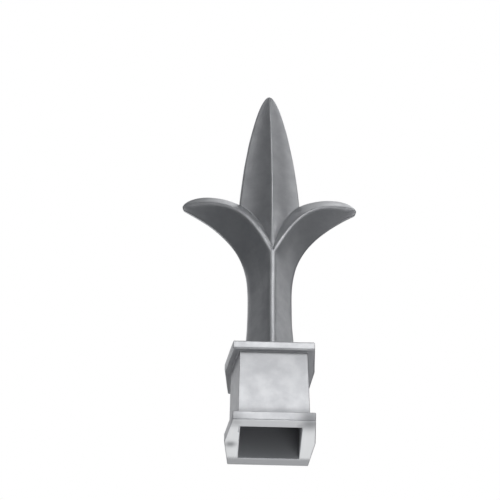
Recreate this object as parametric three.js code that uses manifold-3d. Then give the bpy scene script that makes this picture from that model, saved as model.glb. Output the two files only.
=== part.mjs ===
// A cast spear finial for a square picket: box socket, lozenge stem, two curling leaves and a spear blade.
// Millimetres, +Z up. The leaves spread along X, the front faces -Y and the origin is under the base.
import * as THREE from "three";
import { LoftGeometry } from "three/addons/geometries/LoftGeometry.js";
import { mergeVertices } from "three/addons/utils/BufferGeometryUtils.js";
import Module from "manifold-3d";

const wasm = await Module();
wasm.setup();

const height = 143.1;
const baseHeight = 30.2;
const flangeThickness = 3.2;
const flangeHalfDepth = 14.5;
const flangeFrontHalf = 13.35;
const flangePartingHalf = 14.9;
const bodyHalfDepth = 13.2;
const bodyFrontHalf = 11.35;
const bodyPartingHalf = 13.05;
const bodySpread = 0.25;
const edgeRound = 0.45;
const planRound = 0.45;

const socketHalf = 10;
const socketDepth = 25;
const socketCornerRound = 1;

const stemHalf = 7.45;
const stemDepth = 8.1;
const stemNeckZ = 52.6;
const stemFlare = 1.5;
const stemRidgeLand = 1.05;

const crotchZ = 70.5;
const crotchDepth = 8.4;
const edgeLand = 0.45;
const landFall = 0.01;

const tip = new THREE.Vector2(30.1, 93.6);
const leafRidgeLand = 0.6;
const leafTipDepth = 0.7;
const leafHollow = 0.05;
const leafCurl = 21.8;
const leafRise = 39;
const leafRootZ = 68;
const leafEndZ = 91.4;

const bladeWidestZ = 95.9;
const bladeHalf = 10.4;
const bladePower = 0.53;
const bladeSwell = 0.05;
const bladeThickness = 0.47;
const bladeRise = 4.45;
const bladeRisePower = 1.5;
const bladeHollow = 0.1;
const bladeRootZ = 58;
const bladeRidgeLand = 0.35;

const stemRings = 14;
const leafRings = 34;
const bladeRings = 44;
const facetSteps = 5;

// A geometry as a solid for joining and cutting.
function solidFrom(geometry) {
  const bare = new THREE.BufferGeometry().copy(geometry);
  bare.deleteAttribute("normal");
  bare.deleteAttribute("uv");
  const merged = mergeVertices(bare, 1e-4);
  const vertProperties = new Float32Array(merged.attributes.position.array);
  const triVerts = new Uint32Array(merged.index.array);
  return new wasm.Manifold(new wasm.Mesh({ numProp: 3, vertProperties, triVerts }));
}

// A solid skinned over rings of points that wind the same way from the first ring to the last.
function loft(rings) {
  return solidFrom(new LoftGeometry(rings, { capStart: true, capEnd: true }));
}

// One ring of a ridged limb: outer edge, front ridge, inner edge and back ridge, hollowed between.
// Edges and ridges are narrow lands, as the parting line and the worn corners of the pattern leave them.
function ridgedRing(outer, ridge, inner, depth, land, innerLand, hollow) {
  const front = [];
  const facet = (edge, halfLand, height, reversed) => {
    const shoulder = ridge.clone().lerp(edge, Math.min(0.4, halfLand / ridge.distanceTo(edge)));
    for (let i = 0; i <= facetSteps; i++) {
      const t = (reversed ? facetSteps - i : i) / facetSteps;
      const at = edge.clone().lerp(shoulder, t);
      const rise = edgeLand + (height - edgeLand) * (t - hollow * Math.sin(Math.PI * t));
      front.push(new THREE.Vector3(at.x, -rise, at.y));
    }
  };
  facet(outer, land, depth, false);
  facet(inner, innerLand, depth - landFall, true);
  const back = front.map((p) => new THREE.Vector3(p.x, -p.y, p.z)).reverse();
  return [...front, ...back].reverse();
}

// Half-width of the stem at height z: a neck that flares towards the base.
function stemHalfAt(z) {
  const down = Math.max(0, (stemNeckZ - z) / (stemNeckZ - baseHeight));
  return stemHalf + stemFlare * down ** 2;
}

// The outer outline at height z: the neck of the stem, then a cubic sweep out under the leaf.
function outerAt(z) {
  const up = Math.max(0, (z - stemNeckZ) / leafRise);
  return new THREE.Vector2(stemHalfAt(z) + leafCurl * up ** 3, z);
}

// Half of the stem running up into one leaf. Its section follows an outer edge, a ridge and an inner edge.
function stemAndLeaf() {
  const v = (x, z) => new THREE.Vector2(x, z);
  const ridgeEnd = v(tip.x - 0.4, tip.y + 0.1);
  const ridgeCurve = new THREE.CubicBezierCurve(v(0, crotchZ), v(7.6, 85.3), v(12.7, 94.3), ridgeEnd);
  const innerEnd = v(tip.x - 0.8, tip.y + 1.4);
  const innerCurve = new THREE.CubicBezierCurve(v(-3, 76), v(2, 98.5), v(24, 101.2), innerEnd);
  const rings = [];
  const stemFoot = baseHeight - 1.5;
  const stemTop = 65;
  for (let i = 0; i <= stemRings; i++) {
    const t = i / stemRings;
    const z = stemFoot + (stemTop - stemFoot) * t;
    const rise = Math.max(0, (z - stemNeckZ) / (crotchZ - stemNeckZ));
    const depth = stemDepth + 0.8 * (stemHalfAt(z) - stemHalf) + (crotchDepth - stemDepth) * rise;
    rings.push(ridgedRing(outerAt(z), v(0, z), v(-3, z), depth, stemRidgeLand, 0.1, leafHollow * rise));
  }
  for (let i = 0; i <= leafRings; i++) {
    const t = i / leafRings;
    const depth = leafTipDepth + (crotchDepth - leafTipDepth) * (1 - t * t) ** 0.9;
    const land = leafRidgeLand + (stemRidgeLand - leafRidgeLand) * (1 - t) ** 4;
    const outer = outerAt(leafRootZ + (leafEndZ - leafRootZ) * t ** 0.8);
    const innerLand = 0.1 + (land - 0.1) * Math.min(1, t / 0.15);
    const ridge = ridgeCurve.getPoint(t);
    const inner = innerCurve.getPoint(t);
    rings.push(ridgedRing(outer, ridge, inner, depth, land, innerLand, leafHollow));
  }
  const near = (p) => p.clone().lerp(tip, 0.55);
  const outer = near(outerAt(leafEndZ));
  rings.push(ridgedRing(outer, near(ridgeEnd), near(innerEnd), 0.5, 0.2, 0.2, 0));
  return loft(rings);
}

// Half-width of the blade at height z: it swells out of the stem to its widest and ends in a lancet.
function bladeHalfAt(z) {
  if (z < bladeWidestZ) {
    const down = (bladeWidestZ - z) / (bladeWidestZ - bladeRootZ);
    return bladeHalf - (bladeHalf - 0.86 * stemHalf) * down ** 1.7;
  }
  const left = (height - z) / (height - bladeWidestZ);
  return bladeHalf * left ** bladePower * (1 + bladeSwell * Math.sin(Math.PI * left));
}

// Depth of the blade's middle ridge: in proportion to its width, and rising to the stem at the crotch.
function bladeDepthAt(z) {
  const down = Math.max(0, (bladeWidestZ - z) / (bladeWidestZ - crotchZ));
  const thick = bladeThickness * bladeHalfAt(z) + bladeRise * Math.min(down, 1) ** bladeRisePower;
  return z < crotchZ ? Math.min(thick, crotchDepth - 0.06 * (crotchZ - z)) : thick;
}

function blade() {
  const rings = [];
  for (let i = 0; i <= bladeRings; i++) {
    const t = i / bladeRings;
    const z = bladeRootZ + (height - 0.02 - bladeRootZ) * (1 - (1 - t) ** 1.6);
    const half = Math.max(bladeHalfAt(z), 0.2);
    const depth = Math.max(bladeDepthAt(z), 0.5);
    const side = (s) => new THREE.Vector2(s * half, z);
    const ridge = new THREE.Vector2(0, z);
    rings.push(ridgedRing(side(1), ridge, side(-1), depth, bladeRidgeLand, bladeRidgeLand, bladeHollow));
  }
  return loft(rings);
}

// Plan of a block drafted both ways from the parting plane y = 0, with rounded corners at front and back.
function draftedPlan(z, frontHalf, partingHalf, halfDepth, grow) {
  const corners = [
    [frontHalf, -halfDepth],
    [partingHalf, 0],
    [frontHalf, halfDepth],
    [-frontHalf, halfDepth],
    [-partingHalf, 0],
    [-frontHalf, -halfDepth],
  ].map(([x, y]) => new THREE.Vector2(x + Math.sign(x) * grow, y + Math.sign(y) * grow));
  const ring = [];
  corners.forEach((corner, i) => {
    const before = corners[(i + 5) % 6].clone().sub(corner).normalize();
    const after = corners[(i + 1) % 6].clone().sub(corner).normalize();
    const reach = i % 3 === 1 ? 0.5 : planRound;
    const from = corner.clone().addScaledVector(before, reach);
    const to = corner.clone().addScaledVector(after, reach);
    const bend = new THREE.QuadraticBezierCurve(from, corner, to);
    bend.getPoints(3).forEach((p) => ring.push(new THREE.Vector3(p.x, p.y, z)));
  });
  return ring;
}

// The box base: its side profile steps out to a flange at the bottom and at the top.
function base() {
  const flange = (z, grow) => draftedPlan(z, flangeFrontHalf, flangePartingHalf, flangeHalfDepth, grow);
  const body = (z, grow) => draftedPlan(z, bodyFrontHalf, bodyPartingHalf, bodyHalfDepth, grow);
  const upper = baseHeight - flangeThickness;
  const r = edgeRound;
  return loft([
    flange(0, -r),
    flange(0.3 * r, -0.3 * r),
    flange(r, 0),
    flange(flangeThickness - r, 0),
    flange(flangeThickness - 0.3 * r, -0.3 * r),
    flange(flangeThickness, -r),
    body(flangeThickness, bodySpread + r),
    body(flangeThickness + r, bodySpread),
    body(upper - r, -bodySpread),
    body(upper, -bodySpread + r),
    flange(upper, -r),
    flange(upper + 0.3 * r, -0.3 * r),
    flange(upper + r, 0),
    flange(baseHeight - r, 0),
    flange(baseHeight - 0.3 * r, -0.3 * r),
    flange(baseHeight, -r),
  ]);
}

// The square hole that slips over the picket.
function socket() {
  const c = socketHalf - socketCornerRound;
  const shape = new THREE.Shape();
  shape.absarc(c, c, socketCornerRound, 0, Math.PI / 2);
  shape.absarc(-c, c, socketCornerRound, Math.PI / 2, Math.PI);
  shape.absarc(-c, -c, socketCornerRound, Math.PI, 1.5 * Math.PI);
  shape.absarc(c, -c, socketCornerRound, 1.5 * Math.PI, 2 * Math.PI);
  const past = 2;
  const size = { depth: socketDepth + past, bevelEnabled: false, curveSegments: 4 };
  const hole = new THREE.ExtrudeGeometry(shape, size);
  hole.translate(0, 0, -past);
  return solidFrom(hole);
}

const rightLeaf = stemAndLeaf();
const leftLeaf = rightLeaf.mirror([1, 0, 0]);
const casting = base().add(rightLeaf).add(leftLeaf).add(blade()).subtract(socket());

const mesh = casting.getMesh();
const surface = new THREE.BufferGeometry();
surface.setAttribute("position", new THREE.BufferAttribute(new Float32Array(mesh.vertProperties), 3));
surface.setIndex(new THREE.BufferAttribute(new Uint32Array(mesh.triVerts), 1));
surface.computeVertexNormals();

const castAluminium = new THREE.MeshStandardMaterial({ color: 0xb4b6ba, roughness: 0.45, metalness: 1 });
const finial = new THREE.Mesh(surface, castAluminium);
finial.name = "spear_finial";

const part = new THREE.Group();
part.add(finial);

export default part;
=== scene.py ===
# Spear finial for a square picket: one aluminium casting, seen from below its socket.
import math

import bmesh
import bpy
import numpy as np
from mathutils import Matrix, Vector


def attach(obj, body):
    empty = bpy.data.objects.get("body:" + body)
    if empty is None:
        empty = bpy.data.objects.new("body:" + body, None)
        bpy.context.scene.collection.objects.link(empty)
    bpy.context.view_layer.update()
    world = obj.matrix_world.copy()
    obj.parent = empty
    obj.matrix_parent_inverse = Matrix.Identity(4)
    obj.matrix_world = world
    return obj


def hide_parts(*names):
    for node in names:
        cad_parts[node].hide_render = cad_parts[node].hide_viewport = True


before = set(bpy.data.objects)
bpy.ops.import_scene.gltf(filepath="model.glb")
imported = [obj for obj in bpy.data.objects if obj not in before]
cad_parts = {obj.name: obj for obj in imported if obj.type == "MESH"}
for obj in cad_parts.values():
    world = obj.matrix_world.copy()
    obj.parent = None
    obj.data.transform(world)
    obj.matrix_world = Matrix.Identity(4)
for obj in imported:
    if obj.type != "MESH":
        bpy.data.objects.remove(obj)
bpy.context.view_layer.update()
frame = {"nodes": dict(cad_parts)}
mm = 0.001
tiny = 1e-9  # keeps a division from zero
print("frame loaded:", ", ".join(frame["nodes"]))

finial = {
    # sizes shared with the solid, millimetres; depths are taken from the parting plane
    "height": 143.1,
    "baseHeight": 30.2,
    "flange": (13.35, 14.9, 14.5),  # half-width at the front, at the parting line, half-depth
    "body": (11.35, 13.05, 13.2),
    "bodySpread": 0.25,  # the box is this much wider at its foot and narrower at its top
    "flangeThickness": 3.2,
    "socketHalf": 10.0,
    "socketDepth": 25.0,
    "stemHalf": 7.45,
    "stemDepth": 8.1,
    "stemNeckZ": 52.6,
    "stemTopZ": 65.0,
    "stemFlare": 1.5,
    "flareDepth": 0.8,  # how much of the flare the stem's ridge follows
    "stemRidgeLand": 1.05,
    "crotchZ": 70.5,
    "crotchDepth": 8.4,
    "edgeLand": 0.45,
    "tip": (30.1, 93.6),
    "leafRidge": ((0, 70.5), (7.6, 85.3), (12.7, 94.3), (29.7, 93.7)),  # curve points (x, z)
    "leafInner": ((-3, 76), (2, 98.5), (24, 101.2), (29.3, 95.0)),
    "leafRidgeLand": 0.6,
    "leafLandPower": 4,
    "leafInnerLand": 0.1,
    "leafTipDepth": 0.7,
    "leafDepthPower": 0.9,
    "leafHollow": 0.05,
    "leafCurl": 21.8,
    "leafRise": 39.0,
    "leafRootZ": 68.0,
    "leafEndZ": 91.4,
    "leafEndPower": 0.8,
    "bladeWidestZ": 95.9,
    "bladeHalf": 10.4,
    "bladePower": 0.53,
    "bladeSwell": 0.05,
    "bladeThickness": 0.47,
    "bladeRise": 4.45,
    "bladeRisePower": 1.5,
    "bladeHollow": 0.1,
    "bladeRootZ": 58.0,
    "bladeRootShare": 0.86,  # of the stem's half-width
    "bladeRootPower": 1.7,

    # roundings and fine form, which the solid has coarser or not at all
    "edgeRound": 0.7,  # upper flange
    "rimRound": 0.4,
    "smallRound": 0.3,  # socket mouth, ledge and both ends of the box
    "socketEndRound": 0.8,
    "cornerReach": 0.22,  # how far the upright corners are rounded
    "topInset": 9.0,  # half-width that the top face runs in towards
    "footFillet": 0.8,
    "footFilletFade": 0.5,  # height in which the fillet dies away, as a share of its size
    "noseRound": 0.4,  # rounding of the thin edges at the parting line
    "ridgeRound": 1.05,  # share of the ridge land that is rounded off
    "facetLimits": (0.4, 0.8, 0.3, 0.5),  # most that land, edge, ridge and nose take of a small facet
    "innerLandGrow": 0.06,  # share of the leaf in which the land on its inner side widens
    "tipRun": 0.45,  # how far the leaf's edges run on before they bend to the tip
    "bladeScoop": 0.1,  # how much deeper the blade's faces are hollowed at the crotch
    "bladeRidgeLand": 0.1,
    "bladeRidgeSpread": 1.2,  # how much wider that land grows down to the crotch
    "fairPasses": 160,
    "fairRows": (9, 10),  # rows held at the stem's foot and at the leaf's tip
    "fairHold": (0.15, 0.87, 0.3),  # share across where it is free, share where it is held, fade before that
    "valleyGain": 8.0,  # how strongly a hollow counts as a valley, and how far that spreads
    "valleySpread": 2.5,
    "valleyPasses": 2,
    "valleyFromZ": 60.0,  # only above this height

    # what the mould leaves
    "mouldShift": ((30.2, 0.052), (31.2, 0.062), (70, 0.087), (100, 0.177)),  # height, slope to the right
    "socketFade": (1.5, 1.0),  # millimetres out of the wall and over the end where the shift sets in
    "castWave": 0.025,  # unevenness of the skin
    "waveLength": 7.0,
    "waves": 5,
    "waveTurn": 2.4,  # about the golden angle, so that no two waves run the same way
    "waveGrow": 0.23,
    "waveSum": 2.2,  # what the waves together are divided by
    "flatRim": (0.6, 1.5),  # flat up to here, then uneven over this height

    # wear, painted shade and light, and darker patches, as shares from 0 to 1
    "ridgeWear": (3.0, 0.15),  # gain from the bend, most
    # painted shade in hollows: gain from the bend, most
    "hollowShade": (1.5, 0.3),
    "weatherPasses": 3,
    "flangeShade": ((0.8, 0.45), (0.3, 9.0)),  # amount, fall-off below the upper flange
    "shadeEnd": 23.0,
    "ledgeShade": 0.3,  # painted shade at the foot of the box, on the lower flange
    "ledgeHeight": 1.2,
    "ledgeEnd": 6.0,
    "darkPatches": (  # darker patches: x, y, z, radius, amount
        (12.4, -12.6, 0.5, 3.8, 0.8), (9.8, -11.2, 0, 2.4, 0.6),
        (-11.3, -12.8, 0, 2.6, 0.5), (-12.8, 1.2, 0, 1.7, 0.85)),
    "rimDarkening": (0.3, 0.65),  # darker along the front and the back of the rim
    "rimDarkeningFrom": (9.0, 1.5),  # distance from the middle, fade
    "mouthLightReach": 5.5,  # how far up the socket the painted light at its mouth reaches
    "wallMargin": 0.2,  # millimetres allowed for the uneven skin when a face is picked out
    "levelMargin": 0.05,

    # rows and columns of the grids
    "planColumns": (16, 8, 14),  # side, corner and front of the base
    "profileStep": 1.0,  # millimetres between the base's rows
    "turnRows": 6,
    "shelfRows": 10,
    "footSteps": (0, 0.07, 0.18, 0.35, 0.6, 0.95, 1.4, 2.0),  # millimetres above the base
    "stemStart": 2.9,  # the even rows begin this far above the base
    "stemRows": 36,
    "jointRows": 4,
    "valleyRows": 45,  # from the crotch to the armpit between leaf and blade
    "valleySamples": 1500,
    "armpitBetween": (0.2, 0.8),  # shares of the leaf's length
    "armpitHalvings": 40,
    "leafRows": 59,
    "tipRows": 11,
    "bladeRows": 95,
    "bladeCrowd": 1.8,  # power that crowds rows at the point
    "upperColumns": 26,
    "bladeColumns": 34,
    "evenFrom": 0.8,  # share of the way to the armpit
    "weld": 0.003,
}


def smoothMin(a, b, width):
    # the smaller of two values, the corner between them rounded over a width
    return 0.5 * (a + b - np.sqrt((a - b) ** 2 + width ** 2))


def quadratic(start, pull, end, t):
    # curve from start to end, drawn towards the point between
    return start * (1 - t) ** 2 + 2 * pull * t * (1 - t) + end * t ** 2


def cubic(points, t):
    # curve from the first point to the last, drawn towards the two between
    a, b, c, d = (np.array(p, float) for p in points)
    t = np.asarray(t)[:, None]
    return a * (1 - t) ** 3 + 3 * b * t * (1 - t) ** 2 + 3 * c * t ** 2 * (1 - t) + d * t ** 3


def bothEnds(count):
    # steps from 0 to 1 that crowd at both ends, on half a cosine wave
    return 0.5 - 0.5 * np.cos(np.pi * np.linspace(0, 1, count))


def firstEnd(count):
    # steps from 0 to 1 that crowd at the start, on a quarter wave
    return 1 - np.cos(0.5 * np.pi * np.linspace(0, 1, count))


def facetSteps(count, even):
    # steps across a facet: crowded at the ridge where it ends in a valley, at both ends where it has an edge
    return firstEnd(count) * (1 - even[:, None]) + bothEnds(count) * even[:, None]


def stemHalfAt(z):
    # neck width plus a flare that grows with the square of the way down to the base
    down = np.clip((finial["stemNeckZ"] - z) / (finial["stemNeckZ"] - finial["baseHeight"]), 0, None)
    return finial["stemHalf"] + finial["stemFlare"] * down ** 2


def outerAt(z):
    # outline at height z: the stem's half-width plus the cube of the way up, swept out to the leaf
    up = np.clip((z - finial["stemNeckZ"]) / finial["leafRise"], 0, None)
    return np.stack([stemHalfAt(z) + finial["leafCurl"] * up ** 3, z], -1)


def bladeHalfAt(z):
    # swells out of the stem by a power of the way up to its widest, then a lancet: a power of the way left
    widest, half = finial["bladeWidestZ"], finial["bladeHalf"]
    root = finial["bladeRootShare"] * finial["stemHalf"]
    down = np.clip((widest - z) / (widest - finial["bladeRootZ"]), 0, 1)
    left = np.clip((finial["height"] - z) / (finial["height"] - widest), 0, 1)
    lower = half - (half - root) * down ** finial["bladeRootPower"]
    upper = half * left ** finial["bladePower"] * (1 + finial["bladeSwell"] * np.sin(np.pi * left))
    return np.where(z < widest, lower, upper)


def crotchShare(z):
    # share of the way down from the blade's widest to the crotch
    return np.clip((finial["bladeWidestZ"] - z) / (finial["bladeWidestZ"] - finial["crotchZ"]), 0, 1)


def bladeDepthAt(z):
    # the ridge stands a share of the half-width high, and rises to the stem's ridge at the crotch
    rise = finial["bladeRise"] * crotchShare(z) ** finial["bladeRisePower"]
    return finial["bladeThickness"] * bladeHalfAt(z) + rise


def facetDepth(fromEdge, length, depth, land, hollow):
    # height of a facet at a distance from its thin edge: climbs from the edge land to the ridge, dips by
    # hollow half-way, levels out on the ridge land and turns under on a quarter circle at the edge
    landLimit, edgeLimit, roundLimit, noseLimit = finial["facetLimits"]
    land = np.minimum(land, landLimit * length)
    edge = np.minimum(finial["edgeLand"], edgeLimit * depth)
    nose = np.minimum(finial["noseRound"], noseLimit * length)
    way = fromEdge / np.maximum(length - land, tiny)
    rise = edge + (depth - edge) * (way - hollow * np.sin(np.pi * np.clip(way, 0, 1)))
    rise = smoothMin(rise, depth, np.minimum(finial["ridgeRound"] * land, roundLimit * depth))
    turn = np.clip(1 - fromEdge / np.maximum(nose, tiny), 0, 1)
    return rise - edge * (1 - np.sqrt(1 - turn ** 2))


def bladeDepth(x, z):
    # depth of the blade's face over the point (x, z); minus one outside its outline
    half = bladeHalfAt(z)
    hollow = finial["bladeHollow"] + finial["bladeScoop"] * crotchShare(z) ** 2
    land = finial["bladeRidgeLand"] + finial["bladeRidgeSpread"] * crotchShare(z) ** 2
    face = facetDepth(half - x, half, bladeDepthAt(z), land, hollow)
    return np.where(x < half, face, -1.0)


def surface(points, depth):
    # grid of (x, z) points pushed forward by depth
    return np.stack([points[..., 0], -depth, points[..., 1]], -1)


def planRings(rows, columns):
    # a quarter of the drafted plan for each row (z, front, parting, depth, reach): a straight side from the
    # parting line, the corner turned on a quadratic curve, a straight front to the middle
    z, front, parting, depth, reach = (rows[:, i, None, None] for i in range(5))
    side, turn, face = (np.linspace(0, 1, n)[None, :, None] for n in columns)
    zero = np.zeros_like(front)
    start = np.concatenate([parting, zero], -1)
    corner = np.concatenate([front, -depth], -1)
    middle = np.concatenate([zero, -depth], -1)
    along = (corner - start) / np.maximum(np.linalg.norm(corner - start, axis=-1, keepdims=True), tiny)
    turnIn = corner - along * reach
    turnOut = corner - np.concatenate([reach, zero], -1)
    sideRun = start + (turnIn - start) * side
    curve = quadratic(turnIn, corner, turnOut, turn)
    frontRun = turnOut + (middle - turnOut) * face
    flat = np.concatenate([sideRun, curve[:, 1:-1], frontRun], 1)
    return np.concatenate([flat, np.broadcast_to(z, flat.shape[:2] + (1,))], -1)


def span(row):
    # length of a step along the base's profile, by its height and depth, the first and fourth of its values
    return np.hypot(row[0], row[3])


def roundedProfile(corners, radii, step):
    # rows along a profile: straight runs cut into steps, each corner turned on a quadratic curve that starts
    # and ends its radius away
    corners = np.array(corners, float)
    rows = [corners[:1]]
    turn = np.linspace(0, 1, finial["turnRows"])[:, None]
    for before, corner, after, radius in zip(corners, corners[1:], corners[2:], radii[1:]):
        enter = corner + (before - corner) / span(before - corner) * radius
        leave = corner + (after - corner) / span(after - corner) * radius
        last = rows[-1][-1]
        count = max(2, int(span(enter - last) / step) + 1)
        rows.append(last + (enter - last) * np.linspace(0, 1, count + 1)[1:-1, None])
        rows.append(quadratic(enter, corner, leave, turn))
    return np.concatenate(rows)


def baseRows():
    # the box base from the socket's ceiling, down its wall, round the rim and up the outside to the top face
    flange, body = np.array(finial["flange"]), np.array(finial["body"])
    hole, inset = [finial["socketHalf"]] * 3, [finial["topInset"]] * 3
    ceiling, reach = finial["socketDepth"], finial["cornerReach"]
    edge, small = finial["edgeRound"], finial["smallRound"]
    low, top = finial["flangeThickness"], finial["baseHeight"]
    spread = finial["bodySpread"]
    profile = [  # a corner's row, and its rounding
        ((ceiling, 0, 0, 0, 0), 0),
        ((ceiling, *hole, reach), finial["socketEndRound"]),
        ((0, *hole, reach), small),
        ((0, *flange, reach), finial["rimRound"]),
        ((low, *flange, reach), small),
        ((low, *(body + spread), reach), small),
        ((top - low, *(body - spread), reach), small),
        ((top - low, *flange, reach), edge),
        ((top, *flange, reach), edge),
        ((top, *inset, reach), 0),  # gives only the way that the top runs on
    ]
    corners, radii = zip(*profile)
    return roundedProfile(corners, radii, finial["profileStep"])


def stemRows():
    # rows up the stem: its outline and middle ridge, both pushed out at the foot by a fillet that dies away
    # with height, and the ridge's depth, which grows with the flare and up to the crotch
    foot, neck, fillet = finial["baseHeight"], finial["stemNeckZ"], finial["footFillet"]
    even = np.linspace(foot + finial["stemStart"], finial["stemTopZ"], finial["stemRows"])
    z = np.concatenate([foot + np.array(finial["footSteps"]), even])
    rise = np.clip((z - neck) / (finial["crotchZ"] - neck), 0, None)
    push = fillet * np.exp(-(z - foot) / (finial["footFilletFade"] * fillet))
    depth = finial["stemDepth"] + finial["flareDepth"] * (stemHalfAt(z) - finial["stemHalf"]) + push
    return {
        "outer": outerAt(z) + push[:, None] * (1, 0),
        "ridge": np.stack([0 * z, z], -1),
        "depth": depth + (finial["crotchDepth"] - finial["stemDepth"]) * rise,
        "land": np.full_like(z, finial["stemRidgeLand"]),
        "hollow": finial["leafHollow"] * rise,
    }


def leafSection(t):
    # edges, ridge and sizes of the leaf's section at the share t of its length: depth and land shrink from
    # the crotch's to the tip's by powers of the way along
    rise = np.clip(1 - t * t, 0, 1) ** finial["leafDepthPower"]
    wide, narrow, inner = finial["stemRidgeLand"], finial["leafRidgeLand"], finial["leafInnerLand"]
    land = narrow + (wide - narrow) * (1 - t) ** finial["leafLandPower"]
    climb = finial["leafEndZ"] - finial["leafRootZ"]
    return {
        "outer": outerAt(finial["leafRootZ"] + climb * t ** finial["leafEndPower"]),
        "ridge": cubic(finial["leafRidge"], t),
        "inner": cubic(finial["leafInner"], t),
        "depth": finial["leafTipDepth"] + (finial["crotchDepth"] - finial["leafTipDepth"]) * rise,
        "land": land,
        "innerLand": inner + (land - inner) * np.clip(t / finial["innerLandGrow"], 0, 1),
    }


def armpit():
    # share of the leaf's length where its upper edge crosses the blade's edge, the range halved until found
    low, high = finial["armpitBetween"]
    for _ in range(finial["armpitHalvings"]):
        middle = 0.5 * (low + high)
        x, z = cubic(finial["leafInner"], [middle])[0]
        low, high = (low, middle) if x > bladeHalfAt(z) else (middle, high)
    return high


def closeTip(edge, turn):
    # the edge runs on past its end the way it was going, then bends round to the tip on a quadratic curve
    tip, end, way = np.array(finial["tip"]), edge[-1], edge[-1] - edge[-2]
    on = end + finial["tipRun"] * np.linalg.norm(tip - end) * way / np.linalg.norm(way)
    return np.concatenate([edge, quadratic(end, on, tip, turn[:, None])])


def leafRows():
    # rows along a leaf: on a sine to the armpit, evenly beyond it, and a few that close the tip, where the
    # depth falls off on a quarter circle
    arm, start = armpit(), finial["evenFrom"]
    toArmpit = arm * np.sin(0.5 * np.pi * np.linspace(0, 1, finial["valleyRows"] + 1))
    beyond = arm + (1 - arm) * np.linspace(0, 1, finial["leafRows"] + 1)[1:]
    t = np.concatenate([toArmpit, beyond])
    turn = np.linspace(0, 1, finial["tipRows"] + 1)[1:]
    leaf = leafSection(t)
    for line in ("outer", "ridge", "inner"):
        leaf[line] = closeTip(leaf[line], turn)
    tipDepth = leaf["depth"][-1] * np.sqrt(np.clip(1 - turn ** 2, 0, 1))
    leaf["depth"] = np.concatenate([leaf["depth"], tipDepth])
    for size in ("land", "innerLand"):
        leaf[size] = np.concatenate([leaf[size], np.repeat(leaf[size][-1], len(turn))])
    even = np.clip((t / arm - start) / (1 - start), 0, 1) ** 2
    leaf["even"] = np.concatenate([even, np.ones(len(turn))])
    leaf["hollow"] = np.full_like(leaf["land"], finial["leafHollow"])
    leaf["t"] = t
    return leaf


def innerFacet(leaf, reach, steps):
    # points and depths on the leaf's upper facet, from the ridge over the share reach of the way to the edge
    ridge, inner = leaf["ridge"], leaf["inner"]
    share = steps * reach[:, None]
    points = ridge[:, None] + (inner - ridge)[:, None] * share[..., None]
    length = np.linalg.norm(inner - ridge, axis=1)[:, None]
    depth, land = leaf["depth"][:, None], leaf["innerLand"][:, None]
    return points, facetDepth(length * (1 - share), length, depth, land, finial["leafHollow"])


def valleyReach(t):
    # share of the way from ridge to upper edge at which the blade's face comes up through the leaf's: the
    # first sample that is sunk, then a straight line between it and the one before
    share = np.linspace(0, 1, finial["valleySamples"])
    points, face = innerFacet(leafSection(t), np.ones_like(t), share[None])
    above = face - bladeDepth(points[..., 0], points[..., 1])
    sunk = (above < 0) | (points[..., 0] < 0)
    first = np.where(sunk.any(1), sunk.argmax(1), len(share) - 1)
    row, before = np.arange(len(t)), np.maximum(first - 1, 0)
    clear, under = above[row, before], above[row, first]
    part = np.where((clear > 0) & (under < 0), clear / np.maximum(clear - under, tiny), 0.0)
    return share[before] + (share[first] - share[before]) * part


def joinRows(stem, leaf):
    # stem rows, a few spaced evenly between, then leaf rows
    between = np.linspace(0, 1, finial["jointRows"] + 2)[1:-1].reshape((-1,) + (1,) * (stem.ndim - 1))
    return np.concatenate([stem, stem[-1] + (leaf[0] - stem[-1]) * between, leaf])


def fair(grid, across):
    # smooths the facet along its rows, so that stem runs into leaf without a crease: each point moves up to
    # half-way to the middle of the rows beside it, over and over, the edge and the ridge held
    foot, tip = finial["fairRows"]
    free, held, fade = finial["fairHold"]
    give = np.clip(across / free, 0, 1) * np.clip((held - across) / fade, 0, 1) ** 2
    row, below, above = grid[foot:-tip], grid[foot - 1:-tip - 1], grid[foot + 1:1 - tip]
    for _ in range(finial["fairPasses"]):
        row += 0.5 * give[:, None] * (0.5 * (below + above) - row)
    return grid


def limbPatch(leaf):
    # base, stem and the leaf's outer facet as one grid, each row from the parting line across to the ridge
    base = planRings(baseRows(), finial["planColumns"])
    across = bothEnds(base.shape[1])
    stem = stemRows()
    outer, ridge, depth, land, hollow = (joinRows(stem[key], leaf[key]) for key in stem)
    points = outer[:, None] + (ridge - outer)[:, None] * across[:, None]
    length = np.linalg.norm(ridge - outer, axis=1)[:, None]
    face = facetDepth(across * length, length, depth[:, None], land[:, None], hollow[:, None])
    face[:, 0] = 0
    limb = fair(surface(points, face), across)
    inwards = np.linspace(0, 1, finial["shelfRows"] + 2)[1:-1, None, None]
    return np.concatenate([base, base[-1] + (limb[0] - base[-1]) * inwards, limb])


def upperPatch(leaf, ridgeLine):
    # the leaf's upper facet: from its ridge to the valley against the blade, past the armpit to its own edge
    valley = finial["valleyRows"]
    reach = np.ones_like(leaf["depth"])
    reach[:valley] = valleyReach(leaf["t"][:valley])
    points, face = innerFacet(leaf, reach, facetSteps(finial["upperColumns"], leaf["even"]))
    face[valley:, -1] = 0
    upper = surface(points, face)
    upper[:, 0] = ridgeLine[-len(upper):]
    upper[0] = upper[0, 0]
    return upper


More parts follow.
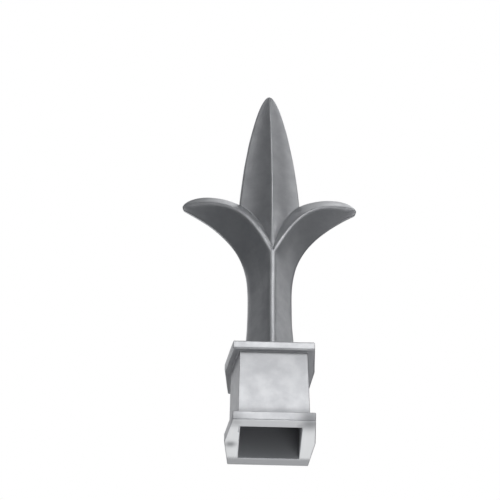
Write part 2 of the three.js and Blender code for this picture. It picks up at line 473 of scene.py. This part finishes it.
def bladePatch(upper, even):
    # the blade's face: from its ridge to the valley line, above the armpit to its own edge, where rows crowd
    # towards the point by a power of the way left
    valley = finial["valleyRows"]
    seam = upper[:valley + 1, -1]
    armpitZ = seam[-1, 2]
    climb = 1 - (1 - np.linspace(0, 1, finial["bladeRows"] + 1)[1:]) ** finial["bladeCrowd"]
    z = np.concatenate([seam[:, 2], armpitZ + (finial["height"] - armpitZ) * climb])
    half = np.concatenate([seam[:, 0], bladeHalfAt(z[valley + 1:])])
    even = np.concatenate([even[:valley + 1], np.ones(len(climb))])
    x = half[:, None] * facetSteps(finial["bladeColumns"], even)
    face = np.maximum(bladeDepth(x, z[:, None]), 0)
    blade = surface(np.stack([x, np.broadcast_to(z[:, None], x.shape)], -1), face)
    blade[:valley + 1, -1] = seam
    blade[valley:, -1, 1] = 0
    blade[0] = upper[0, 0]
    return blade


def gridFaces(rows, columns, first):
    # four corners of each cell of a grid whose points are numbered from first
    corner = first + np.arange(rows - 1)[:, None] * columns + np.arange(columns - 1)
    return np.stack([corner, corner + 1, corner + columns + 1, corner + columns], -1).reshape(-1, 4)


def weldedMesh(quarter):
    # the quarter's grids mirrored to all four, cells turned round where one mirror flips them, and points
    # that meet welded into one closed skin
    allPoints, allFaces, first = [], [], 0
    for across, through in ((1, 1), (-1, 1), (1, -1), (-1, -1)):
        for patch in quarter:
            allPoints.append((patch * (across, through, 1)).reshape(-1, 3))
            cells = gridFaces(patch.shape[0], patch.shape[1], first)
            allFaces.append(cells if across * through > 0 else cells[:, ::-1])
            first += patch.shape[0] * patch.shape[1]
    mesh = bpy.data.meshes.new("spearFinial")
    mesh.from_pydata(np.concatenate(allPoints) * mm, [], np.concatenate(allFaces))
    shell = bmesh.new()
    shell.from_mesh(mesh)
    bmesh.ops.remove_doubles(shell, verts=shell.verts, dist=finial["weld"] * mm)
    bmesh.ops.recalc_face_normals(shell, faces=shell.faces)
    print("open edges:", sum(not edge.is_manifold for edge in shell.edges))
    shell.to_mesh(mesh)
    shell.free()
    mesh.polygons.foreach_set("use_smooth", np.ones(len(mesh.polygons), bool))
    return mesh


def readPoints(mesh):
    # places and normals of the mesh's points, three values a row
    points = np.zeros(len(mesh.vertices) * 3)
    normals = np.zeros(len(mesh.vertices) * 3)
    mesh.vertices.foreach_get("co", points)
    mesh.vertex_normals.foreach_get("vector", normals)
    return points.reshape(-1, 3), normals.reshape(-1, 3)


def setPoints(mesh, points):
    # moves the mesh's points to new places
    mesh.vertices.foreach_set("co", points.ravel())
    mesh.update()


def neighbours(mesh):
    # both ends of each edge, taken both ways, and how many edges meet at each point
    ends = np.zeros(len(mesh.edges) * 2, np.int32)
    mesh.edges.foreach_get("vertices", ends)
    ends = ends.reshape(-1, 2)
    here, there = np.concatenate([ends, ends[:, ::-1]]).T
    return here, there, np.bincount(here, minlength=len(mesh.vertices)).astype(float)


def meanOver(values, links):
    # mean of the values at each point's neighbours
    here, there, count = links
    columns = values.reshape(len(values), -1).T
    total = np.stack([np.bincount(here, column[there], len(values)) for column in columns], -1)
    return (total / count[:, None]).reshape(values.shape)


def bend(points, normals, links):
    # how far the neighbours stand above (hollow, positive) or below (ridge, negative) each point's tangent
    # plane, as a mean share of their distance
    here, there, count = links
    step = points[there] - points[here]
    lift = (step * normals[here]).sum(1) / np.maximum(np.linalg.norm(step, axis=1), tiny)
    return np.bincount(here, lift, len(points)) / count


def easeValleys(points, normals, links):
    # the mould's fillet where the leaves meet the blade: points in and beside a hollow move up to half-way to
    # the mean of their neighbours
    hollow = np.clip(bend(points, normals, links) * finial["valleyGain"], 0, 1)
    soften = np.clip(meanOver(meanOver(hollow, links), links) * finial["valleySpread"], 0, 1)
    soften = np.where(points[:, 2] > finial["valleyFromZ"] * mm, soften, 0)[:, None]
    for _ in range(finial["valleyPasses"]):
        points = points + 0.5 * soften * (meanOver(points, links) - points)
    return points


def leanFront(points):
    # the front half of the mould has shifted: a point lies further right by its distance from the parting
    # plane times the slope at its height; the socket's core has stayed
    wall, end = finial["socketFade"]
    beyondWall = (np.abs(points[:, :2]).max(1) / mm - finial["socketHalf"]) / wall
    aboveEnd = points[:, 2] / mm - finial["socketDepth"] - end
    heights, slopes = zip(*finial["mouldShift"])
    slope = np.clip(np.maximum(beyondWall, aboveEnd), 0, 1) * np.interp(points[:, 2] / mm, heights, slopes)
    points[:, 0] -= slope * np.minimum(points[:, 1], 0)
    return points


def skinWave(points):
    # how far the cast skin stands out: a few sine waves summed, each with its own direction and phase and
    # longer than the one before; nothing on the ground rim
    flat, fade = finial["flatRim"]
    place, order = points / mm, np.arange(finial["waves"])
    turn = finial["waveTurn"] * order
    axes = np.stack([np.cos(turn), np.sin(turn), np.cos(1.7 * turn + 1)], -1)  # 1.7 and 1.3 keep them apart
    lengths = finial["waveLength"] * (1 + finial["waveGrow"] * order)
    phase = 2 * np.pi * (place @ axes.T) / lengths + 1.3 * turn
    free = np.clip((place[:, 2] - flat) / fade, 0, 1)
    return finial["castWave"] * mm * (np.sin(phase).sum(1) / finial["waveSum"]) * free


def weather(mesh, links):
    # worn, grime and shade, and painted light for each point: worn where it bends over and on the ground rim;
    # grime and shade, the largest of painted shade in hollows, in the socket, under the upper flange and at
    # the box's foot, of darker patches and of darker strips on the rim; painted light that fades up the
    # socket from its mouth
    points, normals = readPoints(mesh)
    shape = bend(points, normals, links)
    wearGain, wearMost = finial["ridgeWear"]
    shadeGain, shadeMost = finial["hollowShade"]
    worn = np.clip(-shape * wearGain, 0, wearMost)
    # painted shade where the surface is hollow
    grimeAndShade = np.clip(shape * shadeGain, 0, shadeMost)
    for _ in range(finial["weatherPasses"]):
        worn, grimeAndShade = meanOver(worn, links), meanOver(grimeAndShade, links)

    place = points / mm
    y, z = place[:, 1], place[:, 2]
    margin, level = finial["wallMargin"], finial["levelMargin"]
    # the whole socket is painted in shade, and painted light fades up it from the mouth
    inside = np.abs(place[:, :2]).max(1) < finial["socketHalf"] + margin
    inside &= z < finial["socketDepth"] + margin
    mouthLight = inside * np.exp(-z / finial["mouthLightReach"])
    under = finial["baseHeight"] - finial["flangeThickness"] - z
    shade = np.max([amount * np.exp(-np.abs(under) / fade) for amount, fade in finial["flangeShade"]], 0)
    shade *= (under > -margin) & (under < finial["shadeEnd"]) & ~inside
    # painted shade in the corner where the box meets the lower flange
    lift = z - finial["flangeThickness"]
    ledge = finial["ledgeShade"] * np.exp(-np.clip(lift - finial["ledgeHeight"], 0, None))
    ledge *= (lift > -level) & (lift < finial["ledgeEnd"]) & ~inside
    grimeAndShade = np.max([grimeAndShade, inside, shade, ledge], 0)
    # darker patches round given points
    for *centre, radius, amount in finial["darkPatches"]:
        away = np.linalg.norm(place - centre, axis=1) / radius
        grimeAndShade = np.maximum(grimeAndShade, amount * np.exp(-away ** 2))

    rim = z < level
    worn = np.maximum(worn, rim)
    # darker strips along the front and back of the rim
    start, fade = finial["rimDarkeningFrom"]
    for side, amount in zip((-1, 1), finial["rimDarkening"]):
        grimeAndShade = np.maximum(grimeAndShade, amount * rim * np.clip((side * y - start) / fade, 0, 1))
    for name, values in (("worn", worn), ("grimeAndShade", grimeAndShade), ("mouthLight", mouthLight)):
        mesh.attributes.new(name, "FLOAT", "POINT").data.foreach_set("value", values.astype(np.float32))


def buildFinial():
    # three grids of the quarter x > 0, y < 0, mirrored and welded, moved into the cast shape and weathered
    leaf = leafRows()
    limb = limbPatch(leaf)
    upper = upperPatch(leaf, limb[:, -1])
    mesh = weldedMesh((limb, upper, bladePatch(upper, leaf["even"])))
    links = neighbours(mesh)
    points, normals = readPoints(mesh)
    setPoints(mesh, leanFront(easeValleys(points, normals, links)))
    points, normals = readPoints(mesh)
    setPoints(mesh, points + normals * skinWave(points)[:, None])
    weather(mesh, links)
    piece = bpy.data.objects.new("spearFinialCasting", mesh)
    bpy.context.scene.collection.objects.link(piece)
    print("finial:", len(mesh.vertices), "points,", len(mesh.polygons), "faces")
    return piece


def linear(hexColour):
    # sRGB hex to linear light
    srgb = np.array([int(hexColour[i:i + 2], 16) for i in (1, 3, 5)]) / 255
    return (*np.where(srgb <= 0.04045, srgb / 12.92, ((srgb + 0.055) / 1.055) ** 2.4), 1.0)


def addNode(tree, kind, inputs=None, **settings):
    # a node with its settings; an input takes a value, or a socket to link
    made = tree.nodes.new(kind)
    for key, value in settings.items():
        setattr(made, key, value)
    for key, value in (inputs or {}).items():
        if isinstance(value, bpy.types.NodeSocket):
            tree.links.new(value, made.inputs[key])
        else:
            made.inputs[key].default_value = value
    return made


aluminium = {
    "clean": "#d0d1d3",
    "dull": "#c3c4c7",
    "dirtAndShade": "#747579",
    # colour of the painted shade, also of the darker patches and rim strips
    "bare": "#e9eaeb",
    # painted light at the socket's mouth
    "mouthLight": "#c4c6c9",
    "roughness": (0.42, 0.45),
    "dirtAndShadeMetal": 0.2,  # how metallic the painted shade and the darker patches are
    "mottle": (5.0, 4.0, 0.6),  # size in millimetres, detail, roughness of the noise
    "grain": (0.4, 2.0, 0.5),
    "grainHeight": 0.012,  # millimetres
}


def noise(tree, place, size, detail, roughness):
    # fractal noise whose largest features are about size millimetres across
    return addNode(tree, "ShaderNodeTexNoise", {
        "Vector": place, "Scale": 1 / (size * mm), "Detail": detail, "Roughness": roughness}).outputs["Fac"]


def over(tree, share, below, colour):
    # one colour laid over another by a share; 6, 7 and output 2 are the mix node's colour sockets
    sockets = {0: share, 6: below, 7: linear(colour)}
    return addNode(tree, "ShaderNodeMix", sockets, data_type="RGBA").outputs[2]


def castAluminium():
    # aluminium, sand cast and shot-blasted: an even satin grey, a fine grain that breaks up the highlights,
    # rubbed brighter on its ridges, darker with painted shade in its hollows, socket and corners and in a few
    # patches, pale with painted light in the socket's mouth
    material = bpy.data.materials.new("castAluminiumShotBlasted")
    material.use_nodes = True
    tree = material.node_tree
    tree.nodes.clear()
    place = addNode(tree, "ShaderNodeTexCoord").outputs["Object"]
    mottle = noise(tree, place, *aluminium["mottle"])
    grain = noise(tree, place, *aluminium["grain"])
    worn, grimeAndShade, mouthLight = (
        addNode(tree, "ShaderNodeAttribute", attribute_name=name).outputs["Fac"]
        for name in ("worn", "grimeAndShade", "mouthLight"))
    patches = addNode(tree, "ShaderNodeMapRange", {
        "Value": mottle, "From Min": 0.35, "From Max": 0.65}).outputs[0]
    metal = over(tree, patches, linear(aluminium["clean"]), aluminium["dull"])
    metal = over(tree, worn, metal, aluminium["bare"])
    # painted shade, with the darker patches, in one darker colour
    metal = over(tree, grimeAndShade, metal, aluminium["dirtAndShade"])
    # painted light at the socket's mouth
    metal = over(tree, mouthLight, metal, aluminium["mouthLight"])
    low, high = aluminium["roughness"]
    rough = addNode(tree, "ShaderNodeMapRange", {
        "Value": mottle, "From Min": 0.3, "From Max": 0.7, "To Min": low, "To Max": high}).outputs[0]
    # less metallic where the painted shade and darker patches lie
    bare = addNode(tree, "ShaderNodeMapRange", {
        "Value": grimeAndShade, "To Min": 1.0, "To Max": aluminium["dirtAndShadeMetal"]}).outputs[0]
    bump = addNode(tree, "ShaderNodeBump", {
        "Height": grain, "Strength": 1.0, "Distance": aluminium["grainHeight"] * mm}).outputs[0]
    shader = addNode(tree, "ShaderNodeBsdfPrincipled", {
        "Base Color": metal, "Metallic": bare, "Roughness": rough, "Normal": bump}).outputs[0]
    addNode(tree, "ShaderNodeOutputMaterial", {"Surface": shader})
    return material


casting = buildFinial()
casting.data.materials.append(castAluminium())
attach(casting, "root")
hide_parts("spear_finial")
print("casting dressed")

studio = {  # metres
    "aim": (0, 0, 0.06),
    "backdrop": "#ffffff",
    "ambient": 0.095,
    "ambientTint": "#f3f8ff",
    "floor": "#f9f9f9",
    "floorHalf": 6.0,
    "floorDrop": 0.75,  # the view is from below, so the floor lies under the camera
    "lightDistance": 0.7,
    "lightRadius": 0.28,
    "lights": {  # degrees round to the right of the front, degrees up, brightness
        "front": (0, 30, 1.0),
        "frontRight": (15, 30, 1.07),
        "right": (90, 30, 0.3),
        "left": (-105, 45, 0.15),
        "backLeft": (-140, 30, 0.57),
        "topRight": (120, 60, 1.39),
        "topLeft": (-150, 60, 0.57),
        "lowFront": (30, -60, 2.1),
        "lowRight": (120, -60, 1.76),
        "lowLeft": (-120, -30, 1.25),
        "lowBack": (180, -45, 0.9),
    },
}


def addLight(name, around, up, brightness):
    # a round softbox turned to the finial; its power is brightness times its area times pi
    lamp = bpy.data.lights.new(name, "AREA")
    lamp.shape = "DISK"
    lamp.size = 2 * studio["lightRadius"]
    lamp.energy = brightness * (math.pi * studio["lightRadius"]) ** 2
    box = bpy.data.objects.new(name, lamp)
    around, up = math.radians(around), math.radians(up)
    towards = Vector((math.sin(around) * math.cos(up), -math.cos(around) * math.cos(up), math.sin(up)))
    box.location = Vector(studio["aim"]) + towards * studio["lightDistance"]
    box.rotation_euler = towards.to_track_quat("Z", "Y").to_euler()
    box.visible_camera = False
    bpy.context.scene.collection.objects.link(box)


def addFloor():
    # a plain pale sheet far below, seen only by the camera
    half, z = studio["floorHalf"], -studio["floorDrop"]
    mesh = bpy.data.meshes.new("floor")
    corners = [(-half, -half, z), (half, -half, z), (half, half, z), (-half, half, z)]
    mesh.from_pydata(corners, [], [(0, 1, 2, 3)])
    floor = bpy.data.objects.new("floor", mesh)
    bpy.context.scene.collection.objects.link(floor)
    material = bpy.data.materials.new("paperFloor")
    material.use_nodes = True
    tree = material.node_tree
    tree.nodes.clear()
    glow = addNode(tree, "ShaderNodeEmission", {"Color": linear(studio["floor"])}).outputs[0]
    addNode(tree, "ShaderNodeOutputMaterial", {"Surface": glow})
    mesh.materials.append(material)
    floor.visible_diffuse = floor.visible_glossy = floor.visible_shadow = False


def addWorld():
    # white where the camera looks past the finial, a dim even grey for everything the metal mirrors
    world = bpy.data.worlds.new("studio")
    world.use_nodes = True
    tree = world.node_tree
    tree.nodes.clear()
    seen = addNode(tree, "ShaderNodeLightPath").outputs["Is Camera Ray"]
    dim = addNode(tree, "ShaderNodeBackground", {
        "Color": linear(studio["ambientTint"]), "Strength": studio["ambient"]}).outputs[0]
    white = addNode(tree, "ShaderNodeBackground", {"Color": linear(studio["backdrop"])}).outputs[0]
    mixed = addNode(tree, "ShaderNodeMixShader", {0: seen, 1: dim, 2: white}).outputs[0]
    addNode(tree, "ShaderNodeOutputWorld", {"Surface": mixed})
    bpy.context.scene.world = world


view = {
    "distance": 0.8125,  # camera to the middle of the base's underside, metres
    "below": 30.5,  # degrees that the camera stands under the base
    "pitch": 34.93,  # degrees that it looks up
    "turn": -2.9,  # degrees round to the right of the front
    "lens": 179.5,
    "sensor": 36.0,
    "shift": -0.0388,
    "roll": 0.12,  # degrees that the finial leans to the left in the picture
}


def addCamera():
    # stands off along the turned and lowered line of sight and looks up by its pitch
    turn, below, pitch, roll = (math.radians(view[key]) for key in ("turn", "below", "pitch", "roll"))
    out = Vector((math.sin(turn), -math.cos(turn), 0))
    up = Vector((0, 0, 1))
    ahead = up * math.sin(pitch) - out * math.cos(pitch)
    right = Vector((math.cos(turn), math.sin(turn), 0))
    lens = bpy.data.cameras.new("camera")
    lens.lens, lens.sensor_width, lens.shift_x = view["lens"], view["sensor"], view["shift"]
    camera = bpy.data.objects.new("camera", lens)
    level = Matrix((right, right.cross(ahead), -ahead)).transposed()
    camera.matrix_world = (level @ Matrix.Rotation(-roll, 3, "Z")).to_4x4()
    camera.location = (out * math.cos(below) - up * math.sin(below)) * view["distance"]
    bpy.context.scene.collection.objects.link(camera)
    bpy.context.scene.camera = camera


for name, values in studio["lights"].items():
    addLight(name, *values)
addFloor()
addWorld()
addCamera()
bpy.context.scene.view_settings.view_transform = "Standard"
print("studio set")
